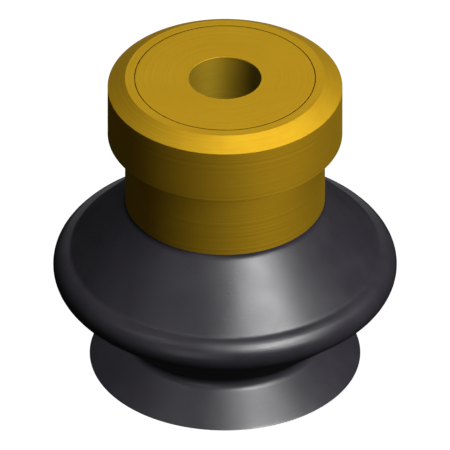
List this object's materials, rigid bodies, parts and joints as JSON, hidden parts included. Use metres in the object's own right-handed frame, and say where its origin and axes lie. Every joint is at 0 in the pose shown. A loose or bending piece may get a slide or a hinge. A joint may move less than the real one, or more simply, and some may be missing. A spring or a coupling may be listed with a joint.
{
  "type": "bellows suction cup",
  "caption": "Bellows suction cup for a vacuum gripper: black rubber bellows with a beaded fold and a thin flared lip, on a round brass fitting with a chamfered flange and an axial port.",
  "frame": {"origin": "centre of the lip, on the plane that its edge seals against", "axes": "+Z along the cup's axis, from the lip up to the fitting's port"},
  "size_m": [0.0404, 0.0404, 0.0396],
  "materials": {
    "rubber": "moulded black rubber, smooth, satin",
    "collar_brass": "turned brass, satin",
    "core_brass": "turned brass, faced flush with the collar, satin"
  },
  "bodies": {
    "root": {"bellows_cup": "rubber", "flanged_collar": "collar_brass", "bored_core": "core_brass"}
  },
  "joints": []
}
